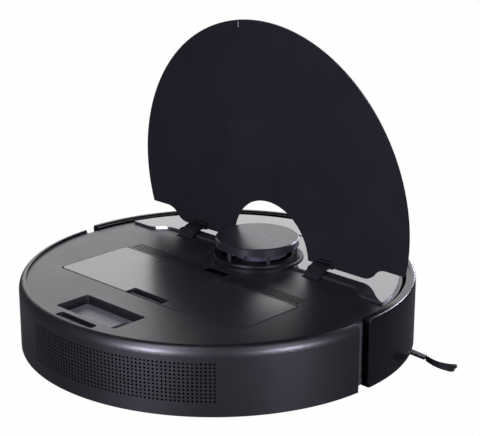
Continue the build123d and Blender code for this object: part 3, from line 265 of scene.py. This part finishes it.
def filter_paper(name, colour):
    """Pressed filter paper with fibres and a little dust."""
    finish = Finish(name, Roughness=0.95)
    finish.colour(finish.noise(4 * mm, 6), shade(colour, 0.75), colour)
    finish.bump(finish.noise(0.6 * mm, 4, stretch=(1, 1, 4)), 0.08 * mm)
    return finish.material


def circuit_board(name, colour):
    """Lacquered board with darker tracks."""
    finish = Finish(name, Roughness=0.35)
    finish.colour(finish.cells(3 * mm), shade(colour, 0.55), shade(colour, 1.2), 0.35, 0.45)
    finish.bump(finish.cells(3 * mm), 0.03 * mm)
    return finish.material


def shrink_wrap(name, colour):
    """Tight plastic film with soft wrinkles."""
    finish = Finish(name)
    finish.colour(finish.noise(30 * mm, 2), shade(colour, 0.85), shade(colour, 1.2))
    finish.roughness(finish.noise(8 * mm, 2), 0.25, 0.45)
    finish.bump(finish.noise(5 * mm, 3, stretch=(0.3, 1, 1)), 0.15 * mm)
    return finish.material


def smoked_plastic(name, colour):
    """Smoked see-through plastic of the dust box, with light scuffs."""
    finish = Finish(name, IOR=1.49, Transmission_Weight=0.45)
    finish.colour(finish.noise(50 * mm, 2), shade(colour, 0.85), shade(colour, 1.15))
    finish.roughness(finish.noise(2 * mm, 6, stretch=(1, 1, 0.2)), 0.12, 0.3)
    return finish.material


def nylon_bristle(name, colour):
    """Nylon strands, each a slightly different tone along its length."""
    finish = Finish(name, IOR=1.53, Specular_IOR_Level=0.2)
    finish.colour(finish.noise(1.5 * mm, 3), shade(colour, 0.2), shade(colour, 0.7))
    finish.roughness(finish.noise(4 * mm, 2), 0.45, 0.65)
    return finish.material


def paper_sticker(name, colour):
    """Plain paper sticker with a faint laid texture."""
    finish = Finish(name, Roughness=0.8)
    finish.colour(finish.noise(3 * mm, 4), shade(colour, 0.92), colour)
    finish.bump(finish.noise(0.4 * mm, 2), 0.02 * mm)
    return finish.material


def make_finishes():
    """One finish for each material slot of the record."""
    tone = slot_colour
    return {
        "shell": moulded_plastic("satin_shell", shade(tone["shell"], 0.08), roughness=0.38,
                                 Specular_IOR_Level=0.42),
        "bumper": polished_plastic("polished_bumper", shade(tone["bumper"], 0.2), roughness=0.22,
                                   Specular_IOR_Level=0.1),
        "glossy_deck": polished_plastic("mirror_deck", tone["glossy_deck"], roughness=0.05,
                                        Specular_IOR_Level=0.45),
        "satin_deck": moulded_plastic("satin_deck", shade(tone["satin_deck"], 0.6), roughness=0.37,
                                      Specular_IOR_Level=0.25),
        "lid": moulded_plastic("matt_lid", shade(tone["lid"], 0.3), roughness=0.55, grain_depth=0.004 * mm,
                               Specular_IOR_Level=0.08),
        "turret": moulded_plastic("turret_plastic", shade(tone["turret"], 0.4), roughness=0.32,
                                  grain=0.6 * mm, Specular_IOR_Level=0.17),
        # inner plastic: a real dark grey, lightened 1.3 times as painted light standing in for bounce light
        # inside the gaps
        "inner_black": moulded_plastic("inner_plastic", shade(tone["inner_black"], 1.3), roughness=0.6,
                                       grain=0.7 * mm, grain_depth=0.03 * mm, Specular_IOR_Level=0.3),
        "window": polished_plastic("dark_window", shade(tone["window"], 2.4), roughness=0.2,
                                   Coat_Weight=0.3),
        "tool_grey": moulded_plastic("tool_plastic", shade(tone["tool_grey"], 1.7), roughness=0.42,
                                     grain_depth=0.006 * mm),
        "box_clear": smoked_plastic("smoked_box", tone["box_clear"]),
        "filter_white": filter_paper("filter_paper", tone["filter_white"]),
        "steel": brushed_metal("steel", tone["steel"], roughness=0.3),
        "contact": brushed_metal("plated_contact", tone["contact"], roughness=0.22),
        "board": circuit_board("circuit_board", tone["board"]),
        "cell_wrap": shrink_wrap("cell_wrap", tone["cell_wrap"]),
        "rubber": rubber("soft_rubber", tone["rubber"]),
        "wheel_grey": moulded_plastic("wheel_plastic", tone["wheel_grey"], roughness=0.5, grain=0.6 * mm,
                                      grain_depth=0.02 * mm),
        "button": polished_plastic("button_plastic", tone["button"], roughness=0.12),
        "bristle": nylon_bristle("nylon_bristle", tone["bristle"]),
    }


def own_finishes():
    """Finishes of the nodes that look different from the rest of their slot."""
    tone = slot_colour
    return {
        "turret_base": moulded_plastic("turret_base_plastic", shade(tone["turret"], 0.15), roughness=0.4,
                                       grain=0.6 * mm, Specular_IOR_Level=0.1),
        "lidar_rotor": polished_plastic("drum_window", shade(tone["turret"], 1.5), roughness=0.15,
                                        Coat_Weight=0.3),
        "reset_lens": polished_plastic("dull_lens", shade(tone["window"], 2.4), roughness=0.4,
                                       Specular_IOR_Level=0.2),
        "side_brush_hub": moulded_plastic("brush_plastic", shade(tone["inner_black"], 0.5), roughness=0.6,
                                          grain=0.7 * mm, grain_depth=0.02 * mm, Specular_IOR_Level=0.15),
        "dust_box_panel": moulded_plastic("panel_plastic", shade(tone["satin_deck"], 0.7), roughness=0.26,
                                          grain_depth=0.0015 * mm),
        # ribbed strip, with painted shade in its grooves
        "ribbed_strip": ribbed_plastic_painted_shade("ribbed_plastic_painted_shade", shade(tone["satin_deck"], 0.6), roughness=0.37,
                                       specular=0.25, top=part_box("ribbed_strip")[1].z),
    }


finishes = make_finishes()
for node in nodes.values():
    node.material_slots[0].material = finishes[node.material_slots[0].material.name]
for node_name, own_finish in own_finishes().items():
    nodes[node_name].material_slots[0].material = own_finish
label_film = moulded_plastic("label_film", shade(slot_colour["lid"], 0.31), roughness=0.5,
                             Specular_IOR_Level=0.11)
white_paper = paper_sticker("white_paper", (0.85, 0.85, 0.9))
# painted line for the light and shade of the groove across the turret's cap
painted_groove_line = paper_sticker("painted_groove_line", (0.2, 0.2, 0.21))


# Pieces

def make_piece(name, mesh, body, slot, material=None):
    """Object from a bmesh, riding on a body and finished as a slot of the record."""
    data = bpy.data.meshes.new(name)
    mesh.to_mesh(data)
    mesh.free()
    piece = bpy.data.objects.new(name, data)
    bpy.context.scene.collection.objects.link(piece)
    data.materials.append(material or finishes[slot])
    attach(piece, body)
    return piece


def square_edge(turn):
    """Point on the edge of a unit square in the direction of an angle."""
    x = math.cos(turn)
    y = math.sin(turn)
    reach = max(abs(x), abs(y))
    return x / reach, y / reach


def make_grille():
    """Curved panel with a regular grid of small round holes right through it."""
    low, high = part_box("exhaust_grille")
    radius = -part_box("rear_skirt")[0].y
    bottom = low.z - seat_gap
    top = high.z + seat_gap
    start = grille_start - seat_gap / radius
    end = grille_end + seat_gap / radius
    edge_turn = grille_border / radius
    turn_step = (end - start - 2 * edge_turn) / grille_columns
    rise_step = (top - bottom - grille_border - grille_foot) / grille_rows
    hole_turn = grille_hole_radius / radius
    mesh = bmesh.new()

    def corner(turn, height, distance):
        return mesh.verts.new((distance * math.sin(turn), -distance * math.cos(turn), height))

    def punched_cell(turn, height):
        """Square patch with a round hole, its back, and the wall of the hole."""
        rings = []
        for distance in (radius, radius - grille_wall):
            square = []
            circle = []
            for side in range(hole_sides):
                angle = math.pi / 4 + 2 * math.pi * side / hole_sides
                x, y = square_edge(angle)
                square.append(corner(turn + x * turn_step / 2, height + y * rise_step / 2, distance))
                circle.append(corner(turn + math.cos(angle) * hole_turn,
                                     height + math.sin(angle) * grille_hole_radius, distance))
            rings.append((square, circle))
        (front_square, front_circle), (back_square, back_circle) = rings
        for side in range(hole_sides):
            after = (side + 1) % hole_sides
            for first, second in ((front_square, front_circle), (front_circle, back_circle),
                                  (back_circle, back_square)):
                mesh.faces.new((first[side], first[after], second[after], second[side]))

    def border_strip(turns, heights):
        """Plain strip of the panel between two angles and two heights."""
        steps = max(1, round((turns[1] - turns[0]) / turn_step))
        columns = []
        for step in range(steps + 1):
            turn = turns[0] + (turns[1] - turns[0]) * step / steps
            columns.append([corner(turn, height, distance)
                            for distance, height in ((radius, heights[0]), (radius, heights[1]),
                                                     (radius - grille_wall, heights[1]),
                                                     (radius - grille_wall, heights[0]))])
        for before, after in zip(columns, columns[1:]):
            for side in range(4):
                turn_on = (side + 1) % 4
                mesh.faces.new((before[side], after[side], after[turn_on], before[turn_on]))
        mesh.faces.new(columns[0])
        mesh.faces.new(columns[-1][::-1])

    for column in range(grille_columns):
        for row in range(grille_rows):
            punched_cell(start + edge_turn + (column + 0.5) * turn_step,
                         bottom + grille_foot + (row + 0.5) * rise_step)
    border_strip((start, end), (bottom, bottom + grille_foot))
    border_strip((start, end), (top - grille_border, top))
    border_strip((start, start + edge_turn), (bottom + grille_foot, top - grille_border))
    border_strip((end - edge_turn, end), (bottom + grille_foot, top - grille_border))
    bmesh.ops.remove_doubles(mesh, verts=mesh.verts, dist=weld_distance)
    bmesh.ops.recalc_face_normals(mesh, faces=mesh.faces)
    grille = make_piece("round_hole_grille", mesh, "root", "shell")
    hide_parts("exhaust_grille")


def add_strand(mesh, points, radius):
    """Thin tapered four-sided strand through points."""
    rings = []
    for index, point in enumerate(points):
        onward = points[min(index + 1, len(points) - 1)] - points[max(index - 1, 0)]
        across = onward.cross(Vector((0, 0, 1))).normalized()
        upward = across.cross(onward).normalized()
        size = radius * (1 - strand_taper * index / (len(points) - 1))
        rings.append([mesh.verts.new(point + size * offset)
                      for offset in (across, upward, -across, -upward)])
    for before, after in zip(rings, rings[1:]):
        for side in range(4):
            turn_on = (side + 1) % 4
            mesh.faces.new((before[side], before[turn_on], after[turn_on], after[side]))
    mesh.faces.new(rings[0][::-1])
    mesh.faces.new(rings[-1])


def make_tuft(number):
    """Curved fan of nylon strands at the end of one side brush arm."""
    node_name = "side_brush_tuft_" + str(number)
    hub = Vector(joints["side_brush_spin"]["pos_m"])
    hub.z = 0
    angle = brush_arm_angle + 2 * math.pi * (number - 1) / brush_arm_count
    outward = Vector((math.cos(angle), math.sin(angle), 0))
    sideways = Vector((-math.sin(angle), math.cos(angle), 0))
    chance = random.Random(number)
    mesh = bmesh.new()
    for strand in range(strand_count):
        across = chance.uniform(-0.5, 0.5)
        level = chance.uniform(-0.5, 0.5)
        length = (tuft_tip_reach - tuft_root_reach) * chance.uniform(strand_shortest, 1.0)
        points = []
        for ring in range(strand_rings):
            share = ring / (strand_rings - 1)
            width = tuft_root_width + (tuft_tip_width - tuft_root_width) * share ** tuft_flare
            reach = tuft_root_reach + (length - tuft_slant * across) * share
            drift = across * width + tuft_sway[0] * share + tuft_sway[1] * share ** 2
            height = tuft_root_z + level * tuft_root_height - tuft_drop * share
            points.append(hub + outward * reach + sideways * drift + Vector((0, 0, height)))
        add_strand(mesh, points, strand_radius)
    tuft = make_piece("bristle_tuft_" + str(number), mesh, "side_brush", "bristle")
    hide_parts(node_name)


def slab(mesh, corners, offset):
    """Thin slab on four corners, thickened along an offset."""
    lower = [mesh.verts.new(corner) for corner in corners]
    upper = [mesh.verts.new(Vector(corner) + offset) for corner in corners]
    mesh.faces.new(lower[::-1])
    mesh.faces.new(upper)
    for side in range(4):
        onward = (side + 1) % 4
        mesh.faces.new((lower[side], lower[onward], upper[onward], upper[side]))


def flat_slab(mesh, x_span, y_span, z, thickness=plate_thickness):
    """Thin level slab between pairs of coordinates."""
    left, right = x_span
    rear, front = y_span
    corners = [(left, rear, z), (right, rear, z), (right, front, z), (left, front, z)]
    slab(mesh, corners, Vector((0, 0, thickness)))


def swing_open(mesh):
    """Turn what was drawn on the shut lid to where the open lid carries it."""
    hinge = joints["lid_hinge"]
    pin = Vector(hinge["pos_m"])
    turn = Matrix.Rotation(-math.radians(hinge["range_deg"][0]), 4, Vector(hinge["axis"]))
    mesh.transform(Matrix.Translation(pin) @ turn @ Matrix.Translation(-pin))


def make_lid_label():
    """Plain label plate inside the lid."""
    mesh = bmesh.new()
    flat_slab(mesh, label_x, label_y, lid_underside, -plate_thickness)
    bmesh.ops.recalc_face_normals(mesh, faces=mesh.faces)
    swing_open(mesh)
    make_piece("lid_label", mesh, "lid", "lid", label_film)


def make_lid_catch():
    """Small bright catch at the lid's rear edge."""
    mesh = bmesh.new()
    flat_slab(mesh, catch_x, catch_y, lid_underside, -2 * plate_thickness)
    bmesh.ops.recalc_face_normals(mesh, faces=mesh.faces)
    swing_open(mesh)
    make_piece("lid_catch", mesh, "lid", "tool_grey")


def make_painted_cap_groove_line():
    """Painted line across the turret's cap, standing in for the light and shade of the groove there."""
    mesh = bmesh.new()
    half = cap_line_width / 2
    flat_slab(mesh, cap_line_x, (cap_line_y - half, cap_line_y + half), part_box("turret_cap")[1].z)
    make_piece("cap_line", mesh, "turret_cap", "tool_grey", painted_groove_line)


def make_strip_frame():
    """Raised U-shaped frame round the notch of the ribbed strip."""
    mesh = bmesh.new()
    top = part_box("ribbed_strip")[1].z
    rear = strip_notch_y[0] - strip_frame_width
    outer = strip_notch_x + strip_frame_width
    flat_slab(mesh, (-outer, outer), (rear, strip_notch_y[0]), top)
    for side in (1, -1):
        x_span = sorted((side * strip_notch_x, side * outer))
        flat_slab(mesh, x_span, strip_notch_y, top)
    make_piece("strip_frame", mesh, "root", "satin_deck")


def make_step_sticker():
    """White sticker folded over the wavy edge of the front plate, along the corners of that edge."""
    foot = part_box("top_deck")[1].z
    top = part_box("front_deck")[1].z
    plate = nodes["front_deck"]
    corners = [plate.matrix_world @ vertex.co for vertex in plate.data.vertices]
    edge = sorted({(round(corner.x, 6), round(corner.y, 6)) for corner in corners
                   if sticker_x[0] < corner.x < sticker_x[1] and corner.y < sticker_front_y})
    up = Vector((0, 0, 1))
    mesh = bmesh.new()
    for start, end in zip(edge, edge[1:]):
        first = Vector((*start, foot))
        second = Vector((*end, foot))
        first_top = Vector((*start, top))
        second_top = Vector((*end, top))
        outward = (second - first).normalized().cross(up)
        flap = outward * sticker_flap
        slab(mesh, (first, second, second_top, first_top), outward * plate_thickness)
        slab(mesh, (first_top, second_top, second_top - flap, first_top - flap), up * plate_thickness)
    bmesh.ops.recalc_face_normals(mesh, faces=mesh.faces)
    make_piece("step_sticker", mesh, "root", "filter_white", white_paper)


def make_stage():
    """Pale floor that keeps a soft shadow and looks white to the camera."""
    mesh = bpy.data.meshes.new("floor")
    half = floor_half
    corners = [(-half, -half, 0), (half, -half, 0), (half, half, 0), (-half, half, 0)]
    mesh.from_pydata(corners, [], [(0, 1, 2, 3)])
    floor = bpy.data.objects.new("floor", mesh)
    bpy.context.scene.collection.objects.link(floor)
    floor.location.z = -floor_drop
    material = bpy.data.materials.new("pale_floor")
    material.use_nodes = True
    tree = material.node_tree
    tree.nodes.clear()
    output = tree.nodes.new("ShaderNodeOutputMaterial")
    mix = tree.nodes.new("ShaderNodeMixShader")
    plain = tree.nodes.new("ShaderNodeBsdfDiffuse")
    plain.inputs["Color"].default_value = (floor_grey, floor_grey, floor_grey, 1)
    white = tree.nodes.new("ShaderNodeEmission")
    path = tree.nodes.new("ShaderNodeLightPath")
    share = tree.nodes.new("ShaderNodeMath")
    share.operation = "MULTIPLY"
    share.inputs[1].default_value = floor_white
    tree.links.new(path.outputs["Is Camera Ray"], share.inputs[0])
    tree.links.new(share.outputs["Value"], mix.inputs["Fac"])
    tree.links.new(plain.outputs["BSDF"], mix.inputs[1])
    tree.links.new(white.outputs["Emission"], mix.inputs[2])
    tree.links.new(mix.outputs["Shader"], output.inputs["Surface"])
    mesh.materials.append(material)


def make_world():
    """White for the camera, a glow that fades overhead for reflections, and plain light for the rest."""
    world = bpy.data.worlds.new("studio")
    bpy.context.scene.world = world
    world.use_nodes = True
    tree = world.node_tree
    tree.nodes.clear()
    output = tree.nodes.new("ShaderNodeOutputWorld")
    background = tree.nodes.new("ShaderNodeBackground")
    where = tree.nodes.new("ShaderNodeTexCoord")
    parts = tree.nodes.new("ShaderNodeSeparateXYZ")
    ramp = tree.nodes.new("ShaderNodeMapRange")
    ramp.inputs["From Min"].default_value = glow_fade[0]
    ramp.inputs["From Max"].default_value = glow_fade[1]
    ramp.inputs["To Min"].default_value = horizon_glow
    ramp.inputs["To Max"].default_value = overhead_glow
    path = tree.nodes.new("ShaderNodeLightPath")
    seen = tree.nodes.new("ShaderNodeMath")
    seen.operation = "MAXIMUM"
    glossy = tree.nodes.new("ShaderNodeMix")
    glossy.inputs["A"].default_value = fill_light
    whole = tree.nodes.new("ShaderNodeMix")
    whole.inputs["B"].default_value = 1.0
    tree.links.new(where.outputs["Generated"], parts.inputs["Vector"])
    tree.links.new(parts.outputs["Z"], ramp.inputs["Value"])
    tree.links.new(path.outputs["Is Glossy Ray"], glossy.inputs["Factor"])
    tree.links.new(ramp.outputs["Result"], glossy.inputs["B"])
    tree.links.new(path.outputs["Is Camera Ray"], seen.inputs[0])
    tree.links.new(path.outputs["Is Transmission Ray"], seen.inputs[1])
    tree.links.new(seen.outputs["Value"], whole.inputs["Factor"])
    tree.links.new(glossy.outputs["Result"], whole.inputs["A"])
    tree.links.new(whole.outputs["Result"], background.inputs["Strength"])
    tree.links.new(background.outputs["Background"], output.inputs["Surface"])


def make_softbox(name, azimuth, elevation, distance, size, power, colour, spread=180):
    """Rectangular soft lamp turned to the body: angles in degrees, the rest in metres and watts.

    Azimuth 0 is straight behind the robot, and 90 is its right side.
    """
    lamp = bpy.data.lights.new(name, "AREA")
    lamp.shape = "RECTANGLE"
    lamp.size, lamp.size_y = size
    lamp.energy = power
    lamp.color = colour
    lamp.spread = math.radians(spread)
    holder = bpy.data.objects.new(name, lamp)
    bpy.context.scene.collection.objects.link(holder)
    turn = math.radians(azimuth)
    lift = math.radians(elevation)
    away = Vector((math.sin(turn) * math.cos(lift), -math.cos(turn) * math.cos(lift), math.sin(lift)))
    holder.location = lamp_aim + away * distance
    holder.rotation_euler = away.to_track_quat("Z", "Y").to_euler()
    holder.visible_camera = False


def make_lights():
    """Bluish lamps behind and beside the robot, a wide panel that the decks mirror, weak lamps in front."""
    front_light = (0.82, 0.81, 1)
    make_softbox("key", 11, 32, 1.5, (0.35, 1.2), 23, front_light)
    make_softbox("low_strip", 11, 3, 1.3, (0.2, 0.12), 23, front_light)
    make_softbox("side", 82, 34, 1.8, (0.6, 0.6), 10, front_light)
    make_softbox("low_side", 82, 3, 1.6, (0.3, 0.12), 31, front_light)
    make_softbox("back_panel", 225, 24, 2.2, (3.1, 1.2), 30, (1, 0.975, 1))
    make_softbox("front_key", 180, 28, 1.6, (0.5, 0.4), 1.4, front_light, 30)
    make_softbox("front_low", 194, 3, 1.5, (0.3, 0.12), 4, front_light)


def make_camera():
    """Camera placed round a point of the body's axis and aimed so that the point falls on its pixel."""
    data = bpy.data.cameras.new("camera")
    data.sensor_width = sensor_width_mm
    data.lens = focal_pixels / image_width * sensor_width_mm
    data.clip_end = camera_reach
    camera = bpy.data.objects.new("camera", data)
    bpy.context.scene.collection.objects.link(camera)
    level = math.cos(camera_elevation)
    back = Vector((math.sin(camera_azimuth) * level, -math.cos(camera_azimuth) * level,
                   math.sin(camera_elevation)))
    facing = (-back).to_track_quat("-Z", "Y").to_matrix()
    yaw = Matrix.Rotation(math.atan((axis_pixel[0] - image_width / 2) / focal_pixels), 3, "Y")
    pitch = Matrix.Rotation(math.atan((axis_pixel[1] - image_height / 2) / focal_pixels), 3, "X")
    roll = Matrix.Rotation(camera_roll, 3, "Z")
    place = Matrix.Translation(Vector((0, 0, axis_height)) + back * camera_distance)
    camera.matrix_world = place @ (facing @ yaw @ pitch @ roll).to_4x4()
    bpy.context.scene.camera = camera


make_grille()
for number in range(1, brush_arm_count + 1):
    make_tuft(number)
make_lid_label()
make_lid_catch()
make_painted_cap_groove_line()
make_strip_frame()
make_step_sticker()
make_stage()
make_world()
make_lights()
make_camera()
bpy.context.scene.view_settings.view_transform = "Standard"
